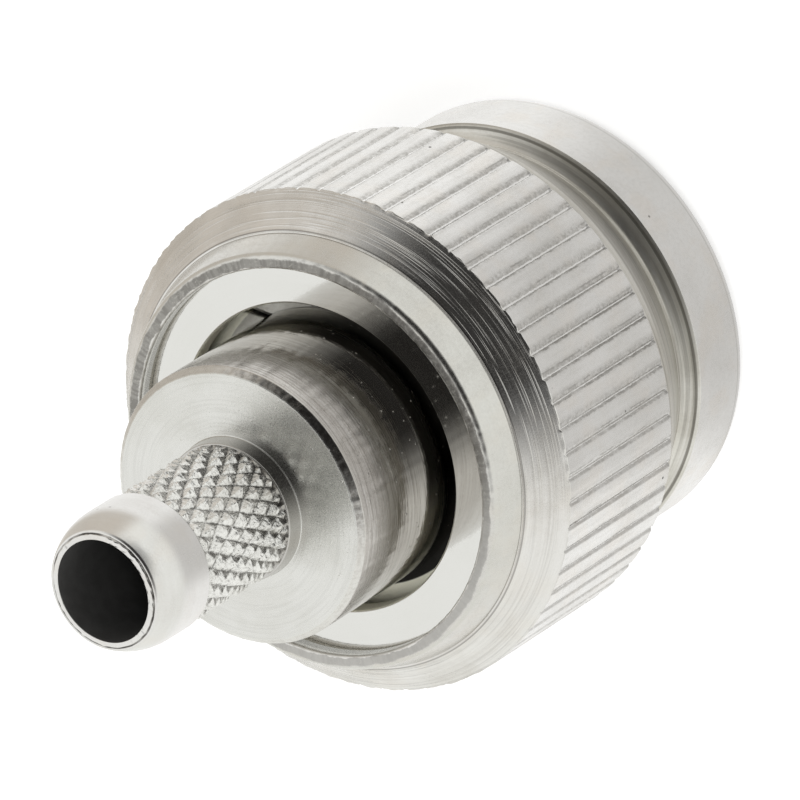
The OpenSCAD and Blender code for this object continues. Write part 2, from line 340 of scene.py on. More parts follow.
class Graph:
    """Short way to write a node tree."""

    def __init__(self, tree):
        self.tree = tree
        tree.nodes.clear()

    def node(self, kind, *inputs, named=None, **settings):
        """A new node; inputs are values or sockets, by place or by name."""
        made = self.tree.nodes.new(kind)
        for key, value in settings.items():
            setattr(made, key, value)
        for place, value in [*enumerate(inputs), *(named or {}).items()]:
            if value is None:
                continue
            socket = made.inputs[place]
            if isinstance(value, bpy.types.NodeSocket):
                self.tree.links.new(value, socket)
            else:
                socket.default_value = value
        return made

    def math(self, operation, a, b=None, clamp=False):
        made = self.node("ShaderNodeMath", a, b, operation=operation, use_clamp=clamp)
        return made.outputs[0]

    def plus(self, a, b, clamp=False):
        return self.math("ADD", a, b, clamp)

    def minus(self, a, b):
        return self.math("SUBTRACT", a, b)

    def times(self, first, *others):
        for other in others:
            first = self.math("MULTIPLY", first, other)
        return first

    def vector(self, operation, a, b=None, out=0):
        return self.node("ShaderNodeVectorMath", a, b, operation=operation).outputs[out]

    def dot(self, a, b):
        return self.vector("DOT_PRODUCT", a, b, out=1)

    def length(self, a):
        return self.vector("LENGTH", a, out=1)

    def join(self, x, y, z):
        return self.node("ShaderNodeCombineXYZ", x, y, z).outputs[0]

    def ramp(self, value, low, high, to_low=0.0, to_high=1.0):
        """A soft step from to_low at low to to_high at high."""
        made = self.node("ShaderNodeMapRange", value, low, high, to_low, to_high)
        made.interpolation_type = "SMOOTHSTEP"
        return made.outputs[0]

    def within(self, value, low, high, soft):
        """1 between low and high, falling to 0 over a soft edge outside them."""
        rise = self.ramp(value, low - soft, low)
        return self.times(rise, self.ramp(value, high, high + soft, 1.0, 0.0))

    def mix(self, share, a, b):
        """Colour a with a share of colour b."""
        made = self.node("ShaderNodeMix", named={0: share, 6: a, 7: b}, data_type="RGBA")
        return made.outputs[2]

    def noise(self, vector, scale, detail=3.0, rough=0.55, w=None):
        named = {"Vector": vector, "Scale": scale, "Detail": detail, "Roughness": rough, "W": w}
        size = "3D" if w is None else "4D"
        return self.node("ShaderNodeTexNoise", named=named, noise_dimensions=size).outputs[0]

    def sway(self, value, width, point, scale, detail, rough):
        """A value moved either way by noise, over the given width in all."""
        shift = self.minus(self.noise(point, scale, detail, rough), 0.5)
        return self.plus(value, self.times(shift, width))

    def scatter(self, point, scale, reach, patches, most):
        """Round spots that fade over reach = (from, to), in patches = (scale, detail, low, high)."""
        cells = self.node("ShaderNodeTexVoronoi", named={"Vector": point, "Scale": scale})
        patch_scale, detail, low, high = patches
        chance = self.ramp(self.noise(point, patch_scale, detail), low, high, 0.0, most)
        return self.times(self.ramp(cells.outputs[0], *reach, 1.0, 0.0), chance)

    def bump(self, height, microns, normal=None):
        named = {"Strength": 1.0, "Distance": microns * 1e-6, "Height": height}
        return self.node("ShaderNodeBump", named={**named, "Normal": normal}).outputs[0]

    def place(self):
        """The point in millimetres, its radius, height, angle and unit vector from the axis."""
        point = self.node("ShaderNodeTexCoord").outputs["Object"]
        point = self.vector("MULTIPLY", point, (1 / MM, 1 / MM, 1 / MM))
        x, y, z = self.node("ShaderNodeSeparateXYZ", point).outputs
        flat = self.vector("MULTIPLY", point, (1, 1, 0))
        return {
            "point": point,
            "radius": self.length(flat),
            "height": z,
            "angle": self.math("ARCTAN2", y, x),
            "outward": self.vector("NORMALIZE", flat),
        }

    def surface(self, named):
        """Ends a material with the given inputs of its shader."""
        shader = self.node("ShaderNodeBsdfPrincipled", named=named).outputs[0]
        self.node("ShaderNodeOutputMaterial", shader)


def rgba(r, g, b):
    return (r, g, b, 1.0)


def new_material(name):
    """A material and its graph."""
    material = bpy.data.materials.new(name)
    material.use_nodes = True
    return material, Graph(material.node_tree)


# Noise scale along a drawn-out mark, spread of a finish, extra roughness where dull, warm tint
STRETCH = 0.12
FINISH_SPREAD = 0.05
DULL_ROUGHER = 0.14
WARM_TINT = (0.98, 0.91, 0.83)


def metal(
    name,
    light,
    dull,
    rough,
    rings=(9.0, 4.0, 0.25),
    grain=(22.0, 2.0, 0.15),
    lines=None,
    drag=0.0,
    pits=0.0,
    specks=0.0,
    patch=0.55,
    warm=0.0,
    marks=None,
):
    """Plated metal with dull patches and the marks of its making.

    rings and grain are (scale per mm, height in microns, share of the dull tone); lines (height, share)
    are thin turning lines, bumped, with painted shade and painted highlight tones; drag runs along the
    axis and marks(g, at, colour, finish) adds a piece's own marks, painted shade and painted highlights.
    """
    material, g = new_material(name)
    at = g.place()
    point, radius, height = at["point"], at["radius"], at["height"]
    ring_scale, ring_height, ring_tone = rings
    grain_scale, grain_height, grain_tone = grain
    round_axis = g.vector("MULTIPLY", at["outward"], (STRETCH, STRETCH, 0))
    round_axis = g.vector("ADD", round_axis, g.join(0.0, 0.0, radius))
    along_axis = g.vector("MULTIPLY", at["outward"], (GRIP_R, GRIP_R, 0))
    along_axis = g.vector("ADD", along_axis, g.join(0.0, 0.0, g.times(height, STRETCH)))
    ring = g.noise(round_axis, ring_scale, 4.0, 0.7, height)
    swell = g.noise(round_axis, ring_scale * 0.2, 2.0, 0.5, height)
    fleck = g.noise(point, grain_scale, 3.0, 0.65)
    streak = g.noise(along_axis, 7.0, 3.0, 0.6, g.times(radius, STRETCH))

    share = g.times(g.ramp(g.noise(point, 0.45, 4.0, 0.6), 0.36, 0.68), patch)
    share = g.plus(share, g.ramp(ring, 0.38, 0.68, 0.0, ring_tone))
    share = g.plus(share, g.ramp(fleck, 0.42, 0.68, 0.0, grain_tone))
    share = g.plus(share, g.ramp(streak, 0.46, 0.72, 0.0, drag), clamp=True)
    colour = g.mix(share, rgba(*light), rgba(*dull))
    finish = g.ramp(fleck, 0.3, 0.7, rough - FINISH_SPREAD, rough + FINISH_SPREAD)
    finish = g.plus(finish, g.times(share, DULL_ROUGHER))
    if warm:
        blush = g.ramp(g.noise(point, 0.8, 3.0, 0.6), 0.46, 0.66, 0.0, warm)
        tinted = [tone * tint for tone, tint in zip(light, WARM_TINT)]
        colour = g.mix(blush, colour, rgba(*tinted))

    normal = g.bump(ring, ring_height)
    normal = g.bump(swell, ring_height * 1.6, normal)
    if lines:
        line_height, line_tone = lines
        thin = g.noise(round_axis, ring_scale * 4.0, 1.0, 0.5, height)
        # Painted shade and painted highlight along the turning lines
        colour = g.mix(g.ramp(thin, 0.53, 0.63, 0.0, line_tone), colour, rgba(0.13, 0.12, 0.11))
        colour = g.mix(g.ramp(thin, 0.46, 0.38, 0.0, line_tone), colour, rgba(0.93, 0.92, 0.9))
        normal = g.bump(g.ramp(thin, 0.5, 0.66), line_height, normal)
    normal = g.bump(fleck, grain_height, normal)
    if drag:
        normal = g.bump(streak, drag * 6.0, normal)
    if specks:
        speck = g.scatter(point, 4.5, (0.06, 0.16), (2.5, 2.0, 0.5, 0.58), specks)
        colour = g.mix(g.times(speck, 0.6), colour, rgba(0.92, 0.9, 0.86))
        normal = g.bump(speck, 16.0, normal)
    if pits:
        pit = g.scatter(point, 1.5, (0.04, 0.08), (1.2, 1.0, 0.54, 0.6), pits)
        colour = g.mix(pit, colour, rgba(0.1, 0.095, 0.09))
        finish = g.plus(finish, g.times(pit, 0.4), clamp=True)
    if marks:
        colour, finish = marks(g, {**at, "streak": streak, "fleck": fleck}, colour, finish)
    g.surface({"Base Color": colour, "Metallic": 1.0, "Roughness": finish, "Normal": normal})
    return material


def soft_solid(name, light, dark, rough, scale, skin_height, sheen=0.0):
    """Plastic or rubber with a mottled tone, faint tool marks and a fine skin."""
    material, g = new_material(name)
    at = g.place()
    mottle = g.noise(at["point"], scale, 5.0, 0.6)
    skin = g.noise(at["point"], scale * 14, 4.0, 0.6)
    rings = g.noise(g.join(at["radius"], at["height"], 0.0), 8.0, 3.0, 0.6)
    g.surface(
        {
            "Base Color": g.mix(g.ramp(mottle, 0.35, 0.65), rgba(*light), rgba(*dark)),
            "Roughness": g.ramp(skin, 0.3, 0.7, rough - 0.06, rough + 0.06),
            "Normal": g.bump(rings, skin_height, g.bump(skin, skin_height)),
            "Sheen Weight": sheen,
        }
    )
    return material


# Sides of the plug, as angles about Z: the one that faces the camera, and the photo's lower right
CAMERA_ANGLE = -2.55
LOWER_ANGLE = 1.95

# Painted shade and painted highlight strips across a groove, from its middle line: (from, to, soft edge)
# in millimetres
SHADED_SIDE_STRIP = (0.0, 0.06, 0.22)
GROOVE_SHADE_STRIP = (-0.095, -0.06, 0.025)
TWIN_SHADE_STRIP = (0.1, 0.125, 0.02)
HIGHLIGHT_STRIP = (-0.035, -0.005, 0.015)
HEAD_SHADE_STRIP = (-0.09, 0.03, 0.02)

# Edges of the lip's dull marks, painted highlight and painted shade: radii from outside to inside, and
# heights from below to above
LIP_DULL = (LIP_OPENING_R + 0.34, LIP_OPENING_R + 0.28)
LIP_BURR_HIGHLIGHT = (LIP_OPENING_R + 0.08, LIP_OPENING_R + 0.04)
LIP_WALL_SHADE = (LIP_OPENING_R + 0.05, LIP_OPENING_R + 0.01)
LIP_SHOULDER = (Z_LIP1 - 0.2, Z_LIP1 - 0.12)
LIP_TOP = (Z_LIP1 - 0.12, Z_LIP1 - 0.04)

# Height of the painted highlight strip at the front rim
RIM_HIGHLIGHT_STRIP = 0.5


def toward(g, at, angle):
    """1 on the side of the plug at this angle, falling to -1 on the far side."""
    return g.math("COSINE", g.minus(at["angle"], angle))


def land_painted_light(g, at, colour, finish):
    """Painted shade on the lower sides of the lands, painted shade lines and a painted highlight line in
    each groove, and painted shade at the ends of the lands by the collar; most of the painted shade
    fades at the lower right.
    """
    point = at["point"]
    turns = g.times(at["angle"], GRIP_GROOVES / TURN)
    side = g.minus(g.math("FRACT", g.plus(turns, 0.5)), 0.5)
    side = g.sway(g.times(side, GROOVE_PITCH), 0.09, point, 6.0, 4.0, 0.7)
    # Share of painted shade by side of the plug, less at the lower right
    paint = g.ramp(toward(g, at, LOWER_ANGLE), 0.1, 0.8, 1.0, 0.35)
    fuzz = g.ramp(g.noise(point, 8.0, 4.0, 0.75), 0.32, 0.66, 0.2, 0.9)
    grey = g.times(g.within(side, *SHADED_SIDE_STRIP), fuzz, paint)
    colour = g.mix(grey, colour, rgba(0.47, 0.46, 0.435))
    gaps = g.ramp(g.noise(point, 3.0, 3.0, 0.6), 0.34, 0.62, 0.2, 0.95)
    dark = g.times(g.within(side, *GROOVE_SHADE_STRIP), gaps, paint)
    colour = g.mix(dark, colour, rgba(0.38, 0.37, 0.35))
    stretches = g.ramp(g.noise(point, 0.7, 3.0, 0.7), 0.5, 0.62, 0.0, 0.8)
    twin_shade_line = g.times(g.within(side, *TWIN_SHADE_STRIP), stretches)
    colour = g.mix(twin_shade_line, colour, rgba(0.42, 0.41, 0.39))
    # Painted highlight line in each groove
    colour = g.mix(g.within(side, *HIGHLIGHT_STRIP), colour, rgba(0.99, 0.985, 0.97))
    # Painted shade at the ends of the lands by the collar
    head = g.within(at["height"], Z_GRIP0 + 0.12, Z_GRIP0 + 0.2, 0.04)
    head = g.times(head, g.within(side, *HEAD_SHADE_STRIP), paint, 0.45)
    return g.mix(head, colour, rgba(0.12, 0.115, 0.11)), finish


def lip_marks_and_painted_light(g, at, colour, finish):
    """A dull inner half with radial marks and an uneven border, with painted light on the lower side, a
    painted highlight on the burr, painted shade on the inner wall and a painted shade line at the foot.
    """
    radius, height = at["radius"], at["height"]
    edge = g.sway(radius, 0.22, at["point"], 1.6, 4.0, 0.65)
    inner = g.times(g.ramp(edge, *LIP_DULL), g.ramp(height, *LIP_SHOULDER))
    tone = g.mix(g.ramp(at["streak"], 0.42, 0.6), rgba(0.24, 0.23, 0.215), rgba(0.35, 0.34, 0.32))
    tone = g.mix(g.ramp(at["fleck"], 0.52, 0.68), tone, rgba(0.48, 0.47, 0.44))
    # Painted light: the dull half is lighter on the lower side
    lighter = g.ramp(toward(g, at, LOWER_ANGLE), 0.3, 0.8, 0.0, 0.6)
    tone = g.mix(lighter, tone, rgba(0.66, 0.65, 0.63))
    colour = g.mix(g.times(inner, 0.9), colour, tone)
    # Painted highlight on the burr round the opening
    burr = g.times(g.ramp(edge, *LIP_BURR_HIGHLIGHT), g.ramp(height, *LIP_TOP))
    colour = g.mix(burr, colour, rgba(0.88, 0.87, 0.84))
    # Painted shade on the inner wall of the lip
    wall = g.times(g.ramp(height, *reversed(LIP_SHOULDER)), g.ramp(radius, *LIP_WALL_SHADE))
    colour = g.mix(wall, colour, rgba(0.24, 0.235, 0.19))
    # Painted shade line at the foot of the lip
    foot = g.within(height, Z_BEVEL1 - 0.02, Z_BEVEL1 + 0.03, 0.015)
    colour = g.mix(g.times(foot, 0.55), colour, rgba(0.25, 0.24, 0.22))
    finish = g.plus(finish, g.times(wall, 0.35))
    return colour, g.plus(finish, g.times(inner, 0.25))


def bevel_painted_shade(g, at, colour, finish):
    """A painted shade line where the bevel ends at the foot of the lip."""
    foot_r = LIP_ROOT_R + LIP_STEP
    line = g.within(at["radius"], foot_r, foot_r + 0.025, 0.015)
    return g.mix(g.times(line, 0.6), colour, rgba(0.2, 0.19, 0.175)), finish


def band_painted_light(g, at, colour, finish):
    """A painted highlight strip at the rim, with a faint painted shade line above it."""
    strip = g.ramp(at["height"], RIM_HIGHLIGHT_STRIP, RIM_HIGHLIGHT_STRIP - 0.08)
    colour = g.mix(g.times(strip, 0.6), colour, rgba(0.92, 0.92, 0.91))
    line = g.within(at["height"], RIM_HIGHLIGHT_STRIP + 0.01, RIM_HIGHLIGHT_STRIP + 0.03, 0.02)
    return g.mix(g.times(line, 0.3), colour, rgba(0.45, 0.44, 0.42)), finish


def neck_painted_light(g, at, colour, finish):
    """A painted highlight line above the neck and a painted shade line below it."""
    # Painted highlight line at the top of the neck
    edge = g.within(at["height"], Z_NECK1 - 0.01, Z_NECK1 + 0.03, 0.03)
    colour = g.mix(g.times(edge, 0.8), colour, rgba(0.95, 0.94, 0.91))
    # Painted shade line at the foot of the neck
    foot = g.within(at["height"], Z_NECK0 + 0.08, Z_NECK0 + 0.11, 0.02)
    return g.mix(g.times(foot, 0.7), colour, rgba(0.16, 0.15, 0.13)), finish


def washer_edge_and_painted_light(g, at, colour, finish):
    """A dull inner edge, with painted shade on the camera's side and painted pale light elsewhere."""
    edge_r = WASHER_IN_R + WASHER_EDGE
    edge = g.ramp(at["radius"], edge_r, edge_r - 0.02)
    # Painted shade on the camera's side, painted pale light elsewhere
    near = g.ramp(toward(g, at, CAMERA_ANGLE), 0.45, 0.8)
    tone = g.mix(near, rgba(0.95, 0.94, 0.84), rgba(0.2, 0.195, 0.18))
    return g.mix(edge, colour, tone), g.plus(finish, g.times(edge, 0.75))


def ring_painted_light(g, at, colour, finish):
    """Painted shade, black, on the lower-right side, and painted pale light under the washer's edge away
    from the camera.
    """
    # Painted shade: black on the lower-right side
    lower = g.ramp(toward(g, at, LOWER_ANGLE), 0.1, 0.5)
    colour = g.mix(lower, colour, rgba(0.03, 0.029, 0.027))
    # Painted pale light under the washer's edge, shifted away from the camera
    shift = g.times(toward(g, at, CAMERA_ANGLE), 0.45)
    outer = g.ramp(g.minus(at["radius"], shift), WASHER_IN_R - 0.2, WASHER_IN_R - 0.15)
    return g.mix(outer, colour, rgba(0.93, 0.92, 0.8)), finish


def knurl_painted_shade(g, at, colour, finish):
    """Painted shade: dark spots in the valleys between the diamonds, and one darker side on each
    diamond.
    """
    # Painted shade in the valleys
    spots = g.ramp(g.noise(at["point"], 5.0, 3.0, 0.7), 0.42, 0.6, 0.05, 0.85)
    deep = g.times(g.ramp(at["radius"], ROOT_R, ROOT_R + 0.035, 1.0, 0.0), spots)
    colour = g.mix(deep, colour, rgba(0.13, 0.125, 0.115))
    # Painted shade on one side of each diamond
    across = g.times(at["angle"], DIAMONDS / TURN)
    along = g.math("DIVIDE", g.minus(at["height"], DIAMOND_FROM), 2 * DIAMOND_STEP)
    first = g.math("PINGPONG", g.plus(across, along), 0.5)
    second = g.minus(1.0, g.math("FRACT", g.minus(across, along)))
    dull = g.ramp(g.minus(g.times(first, 0.8), second), 0.0, 0.08)
    patchy = g.ramp(g.noise(at["point"], 4.0, 3.0, 0.7), 0.38, 0.6, 0.1, 0.9)
    return g.mix(g.times(dull, patchy), colour, rgba(0.22, 0.21, 0.195)), finish


def chamfer_painted_shade(g, at, colour, finish):
    """Painted shade in torn dark spots along the chamfer, strongest on the camera's side."""
    # Painted shade, gated to the camera's side
    torn = g.ramp(g.noise(at["point"], 6.0, 4.0, 0.7), 0.4, 0.6, 0.45, 1.0)
    near = g.ramp(toward(g, at, CAMERA_ANGLE), 0.5, 0.95, 0.06, 0.75)
    return g.mix(g.times(torn, near), colour, rgba(0.16, 0.145, 0.13)), finish


def body_tone_and_painted_shade(g, at, colour, finish):
    """Smoother and browner away from the chamfer, and painted shade in the gap on the camera's side."""
    low = g.ramp(at["height"], Z_BODY1 - 0.9, Z_BODY1 - 2.1)
    finish = g.times(finish, g.minus(1.0, g.times(low, 0.7)))
    colour = g.mix(g.times(low, 0.35), colour, rgba(0.4, 0.375, 0.34))
    # Painted shade in the deep gap inside the washer, on the camera's side
    gap = g.within(at["height"], ring_low.z, washer_high.z - 0.2, 0.12)
    near = g.ramp(toward(g, at, CAMERA_ANGLE), 0.6, 0.9, 0.0, 0.85)
    return g.mix(g.times(gap, near), colour, rgba(0.06, 0.058, 0.055)), finish


def nose_painted_shade(g, at, colour, finish):
    """Painted shade at the foot of the post, and a dark uneven painted shade line round the rim of the
    bore.
    """
    # Painted shade at the foot of the post
    foot = g.ramp(at["height"], Z_DIAMOND0 + 0.05, Z_DIAMOND0 - 0.02, 0.0, 0.6)
    colour = g.mix(foot, colour, rgba(0.4, 0.385, 0.36))
    # Painted shade line round the rim of the bore
    edge = g.sway(at["radius"], 0.06, at["point"], 2.2, 3.0, 0.65)
    line = g.within(edge, NOSE_R - 0.055, NOSE_R - 0.025, 0.02)
    top = g.ramp(at["height"], Z_POST1 - 0.12, Z_POST1 - 0.08)
    broken = g.ramp(g.noise(at["point"], 0.9, 2.0), 0.42, 0.58, 0.1, 0.9)
    return g.mix(g.times(line, top, broken), colour, rgba(0.14, 0.13, 0.12)), finish


NICKEL = (0.77, 0.765, 0.745)
NICKEL_DULL = (0.63, 0.605, 0.555)
nut_metal = metal("nut_nickel", NICKEL, NICKEL_DULL, 0.26)
band_metal = metal(
    "band_nickel",
    (0.84, 0.835, 0.82),
    (0.73, 0.72, 0.695),
    0.16,
    rings=(6.0, 0.8, 0.1),
    grain=(9.0, 0.6, 0.2),
    warm=0.3,
    pits=0.6,
    marks=band_painted_light,
)
neck_metal = metal(
    "neck_nickel",
    (0.77, 0.755, 0.705),
    (0.58, 0.555, 0.495),
    0.34,
    rings=(3.0, 4.0, 0.4),
    grain=(18.0, 1.0, 0.1),
    lines=(2.0, 0.25),
    marks=neck_painted_light,
)
land_metal = metal(
    "land_nickel",
    (0.87, 0.865, 0.85),
    (0.75, 0.74, 0.715),
    0.2,
    rings=(9.0, 0.8, 0.05),
    grain=(12.0, 3.0, 0.25),
    drag=0.35,
    pits=0.9,
    warm=0.25,
    marks=land_painted_light,
)
bevel_metal = metal(
    "bevel_nickel",
    (0.82, 0.81, 0.79),
    (0.62, 0.595, 0.555),
    0.16,
    rings=(4.0, 6.0, 0.3),
    grain=(20.0, 1.5, 0.1),
    lines=(6.0, 0.08),
    warm=0.15,
    marks=bevel_painted_shade,
)
lip_metal = metal(
    "lip_nickel",
    (0.72, 0.715, 0.685),
    (0.63, 0.615, 0.58),
    0.18,
    rings=(5.0, 1.2, 0.15),
    grain=(12.0, 0.4, 0.1),
    drag=0.1,
    warm=0.2,
    marks=lip_marks_and_painted_light,
)
thread_metal = metal(
    "thread_nickel", NICKEL, NICKEL_DULL, 0.26, rings=(9.0, 2.0, 0.25), grain=(22.0, 3.0, 0.15)
)
washer_metal = metal(
    "washer_nickel",
    (0.79, 0.79, 0.765),
    (0.74, 0.74, 0.705),
    0.06,
    rings=(9.0, 0.4, 0.1),
    grain=(22.0, 0.2, 0.05),
    patch=0.25,
    marks=washer_edge_and_painted_light,
)
ring_metal = metal(
    "ring_bronze",
    (0.63, 0.62, 0.58),
    (0.5, 0.49, 0.45),
    0.42,
    rings=(5.0, 3.0, 0.25),
    grain=(22.0, 4.0, 0.15),
    marks=ring_painted_light,
)
body_metal = metal(
    "body_nickel",
    (0.63, 0.61, 0.58),
    (0.42, 0.39, 0.35),
    0.16,
    rings=(5.0, 0.9, 0.25),
    grain=(17.0, 0.9, 0.25),
    specks=1.0,
    lines=(0.8, 0.2),
    patch=0.3,
    marks=body_tone_and_painted_shade,
)
face_metal = metal(
    "face_nickel",
    (0.78, 0.78, 0.755),
    (0.68, 0.675, 0.635),
    0.21,
    rings=(3.5, 1.6, 0.12),
    grain=(20.0, 1.4, 0.15),
    lines=(0.5, 0.05),
    specks=0.35,
)
chamfer_metal = metal(
    "chamfer_nickel",
    (0.8, 0.79, 0.765),
    (0.6, 0.58, 0.54),
    0.14,
    rings=(6.0, 2.0, 0.25),
    grain=(8.0, 4.0, 0.3),
    marks=chamfer_painted_shade,
)
post_metal = metal(
    "post_nickel",
    (0.82, 0.815, 0.8),
    (0.72, 0.705, 0.68),
    0.15,
    rings=(9.0, 1.2, 0.15),
    grain=(22.0, 1.0, 0.15),
    warm=0.2,
    pits=0.3,
    marks=nose_painted_shade,
)
knurl_metal = metal(
    "knurl_nickel",
    (0.93, 0.925, 0.905),
    (0.72, 0.71, 0.68),
    0.2,
    rings=(9.0, 1.0, 0.1),
    grain=(13.0, 16.0, 0.5),
    marks=knurl_painted_shade,
)
contact_metal = metal(
    "contact_nickel", (0.75, 0.74, 0.71), (0.61, 0.59, 0.55), 0.22, rings=(11.0, 3.0, 0.25)
)
gold_metal = metal(
    "pin_gold", (0.84, 0.64, 0.3), (0.7, 0.5, 0.21), 0.18, rings=(9.0, 2.5, 0.25)
)
# Painted shade: the metal bore of the post gets a near-black matt material for the shade inside it
bore_painted_shade = soft_solid("bore_painted_shade", (0.08, 0.079, 0.077), (0.065, 0.064, 0.062), 0.7, 2.0, 4.0)
white_plastic = soft_solid(
    "insulator_ptfe", (0.87, 0.87, 0.85), (0.79, 0.79, 0.765), 0.42, 0.7, 4.0
)
red_rubber = soft_solid(
    "gasket_silicone", (0.5, 0.13, 0.08), (0.4, 0.1, 0.065), 0.55, 0.9, 6.0, 0.15
)

# Coupling nut: knurled outside, rolled lip and seats
GROOVE_UNEVEN = 0.12
GROOVE_END_LEN = 0.3
GROOVE_END_SHARE = 0.45
LAND_TILT = 0.005
LAND_CROWN = 0.012
BURR_HEIGHT = 0.01
BURR_AT = -0.12
BURR_W = 0.03
RAGGED = 0.012
RAGGED_LEN = 0.05
LIP_WAVE = 0.004
LIP_DENT = 0.02
half_pitch = GROOVE_PITCH / 2
half_mouth = GROOVE_W / 2

# Columns of one pitch, closer together in the groove
columns = [-0.26, -0.14, -0.105, -0.075, -0.05, -0.035, -0.01, 0.04, 0.1, 0.15, 0.26]
columns = np.array([*columns, half_pitch]) / GRIP_R
knurl_angles = (even(GRIP_GROOVES)[:, None] + columns[None, :]).ravel()
groove_rng = np.random.RandomState(SEED)
groove_deep = 1 + GROOVE_UNEVEN * groove_rng.uniform(-1, 1, GRIP_GROOVES)
land_tilt = LAND_TILT * groove_rng.normal(size=GRIP_GROOVES)


def knurled(r, z, angle):
    """Cuts the straight knurl, with its steeper wall on one side, and roughens the end of the lip."""
    number = np.round(angle / (TURN / GRIP_GROOVES)).astype(int)
    side = (angle - number * TURN / GRIP_GROOVES) * GRIP_R
    number = number % GRIP_GROOVES
    ending = np.clip(GROOVE_END_SHARE + (Z_GRIP1 - z) / GROOVE_END_LEN, GROOVE_END_SHARE, 1)
    deep = GROOVE_DEPTH * groove_deep[number] * ending
    wide = np.where(side > GROOVE_LOW, half_mouth - GROOVE_LOW, half_mouth + GROOVE_LOW)
    floor = GRIP_R - deep + np.abs(side - GROOVE_LOW) * deep / wide
    off_middle = np.clip((half_pitch - np.abs(side)) / (half_pitch - half_mouth), 0, 1)
    burr = BURR_HEIGHT * np.exp(-(((side - BURR_AT) / BURR_W) ** 2))
    crown = LAND_CROWN * off_middle**2 - burr + land_tilt[number] * side / half_pitch
    grip = (z > Z_GRIP0 - 0.2) & (z < Z_BEVEL1 - 0.02)
    shaped = np.where(grip & (r > GRIP_R - 0.03), r - crown, r)
    shaped = np.where(grip, np.minimum(shaped, floor), shaped)
    ragged = np.exp(-(((z - Z_GRIP1) / RAGGED_LEN) ** 2)) * (r > GRIP_R - 0.15)
    shaped = shaped + ragged * RAGGED * wave(angle, 9, 60, 190)
    at_lip = np.clip((z - (Z_LIP1 - 0.2)) / 0.18, 0, 1) * (r > LIP_OPENING_R - 0.01)
    rough = 0.5 * wave(angle, 3, 5, 40) + 0.5 * wave(angle + 1.7 * r, 4, 30, 120)
    shaped = shaped + at_lip * LIP_WAVE * wave(angle, 5, 30, 180)
    return shaped, z - at_lip * LIP_DENT * (0.6 + 0.25 * rough)


nut_corners = [
    (THREAD_R + LEAD_IN, 0, 0),
    (BAND_R - RIM_CHAMFER, 0, 0.2),
    (BAND_R, RIM_CHAMFER, 0.3),
    (BAND_R, Z_NECK0, 0.03),
    (BAND_R - NECK_STEP, Z_NECK0 + NECK_STEP, 0),
    (BAND_R - NECK_STEP - NECK_LEDGE, Z_NECK0 + NECK_STEP, 0),
    (NECK_R, Z_NECK0 + NECK_DEPTH, 0.05),
    (NECK_R, Z_NECK1, 0.05),
    (FLARE_R, Z_FLARE1, 0.2),
    (COLLAR_R, Z_GRIP0, 0.02),
    (GRIP_R, Z_GRIP0 + LAND_CHAMFER, 0.06),
    (GRIP_R, Z_GRIP1, 0.03),
    (LIP_ROOT_R + LIP_STEP, Z_BEVEL1, 0.03),
    (LIP_ROOT_R, Z_BEVEL1, 0.02),
    (LIP_R, Z_LIP1, 0.2),
    (LIP_OPENING_R, Z_LIP1, 0.08),
    (LIP_OPENING_R, washer_high.z + SEAT_GAP, 0),
    (WASHER_R + RUN_GAP, washer_high.z + SEAT_GAP, 0),
    (WASHER_R + RUN_GAP, washer_low.z - SEAT_GAP, 0),
    (RING_R + RUN_GAP, washer_low.z - SEAT_GAP, 0),
    (RING_R + RUN_GAP, Z_SEAT, 0),
    (THREAD_R, Z_SEAT, 0),
]

# Fine rows where the grooves run out on the bevel, at the front of the lands and on the lip
nut_rows = denser(rounded(nut_corners), 0.03, Z_GRIP1 - 0.1, Z_GRIP1 + BEVEL_LEN)
row_z = nut_rows[:, 1]
nut_rows = nut_rows[(row_z < Z_GRIP1 + 0.24) | (row_z > Z_BEVEL1 - 0.06)]
nut_rows = denser(nut_rows, 0.05, Z_GRIP0, Z_GRIP0 + LAND_CHAMFER + 0.03)
nut_rows = denser(nut_rows, 0.06, Z_LIP1 - 0.03, Z_LIP1 + 0.1)

# Materials by zone, from the front rim to the inside of the lip
mid_r, mid_z = ((nut_rows[:-1] + nut_rows[1:]) / 2).T
lip_inside = np.argmin(np.hypot(mid_r - LIP_OPENING_R, mid_z - Z_LIP1 + 0.4))
outside = np.arange(len(mid_r)) < lip_inside
grip_from = Z_GRIP0 + 0.005
nut_zones = [
    (band_metal, outside & (mid_z < Z_NECK0)),
    (neck_metal, outside & (mid_z >= Z_NECK0) & (mid_z < grip_from)),
    (land_metal, outside & (mid_z >= grip_from) & (mid_z < Z_GRIP1)),
    (bevel_metal, outside & (mid_z >= Z_GRIP1) & (mid_r > LIP_ROOT_R)),
    (lip_metal, outside & (mid_z >= Z_BEVEL1 - 0.01) & (mid_r <= LIP_ROOT_R)),
]
make(
    "nut_shell",
    turned(nut_rows, knurl_angles, shape=knurled),
    nut_metal,
    "nut",
    "coupling_nut",
    [(material, np.repeat(rows, len(knurl_angles))) for material, rows in nut_zones],
)

# Thread: few rows behind it, many rows along it
THREAD_SHARP = 1.25
THREAD_FLAT = 0.12
THREAD_BACK = THREAD_LEN + 0.6
thread_heights = np.concatenate(
    [
        np.linspace(Z_SEAT, THREAD_BACK + 0.1, THREAD_BACK_ROWS),
        np.linspace(THREAD_BACK, 0, THREAD_ROWS),
    ]
)


